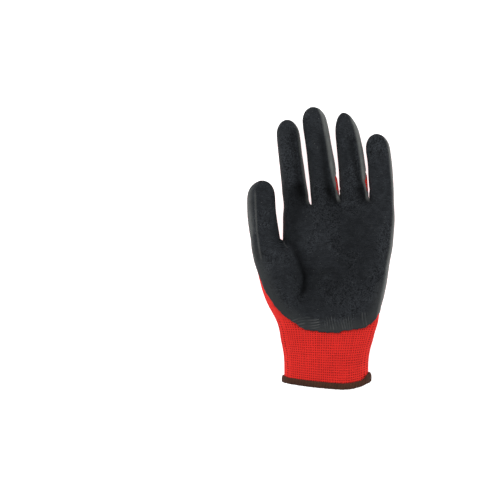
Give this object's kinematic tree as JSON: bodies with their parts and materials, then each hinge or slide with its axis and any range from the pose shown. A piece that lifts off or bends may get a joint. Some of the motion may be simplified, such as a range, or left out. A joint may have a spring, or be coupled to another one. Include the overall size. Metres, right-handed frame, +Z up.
{
  "type": "latex coated grip glove",
  "caption": "Left-hand seamless knitted work glove with a crinkled latex coating over the palm and fingertips, an elastic knitted wrist and an overlocked hem.",
  "frame": {"origin": "under the middle of the glove's outline, on the surface that it lies on", "axes": "+X from the thumb to the little finger, +Y to the fingertips, +Z up out of the palm"},
  "size_m": [0.1252, 0.2392, 0.0323],
  "materials": {
    "red_knit": "matte fine jersey knit",
    "red_rib": "matte knit dotted with covered elastic",
    "brown_yarn": "matte overlock thread",
    "black_latex": "crinkled semi-matte latex"
  },
  "bodies": {
    "root": {"knit_shell": "red_knit", "knit_wrist": "red_rib", "hem_overlock": "brown_yarn", "latex_palm": "black_latex"}
  },
  "joints": []
}
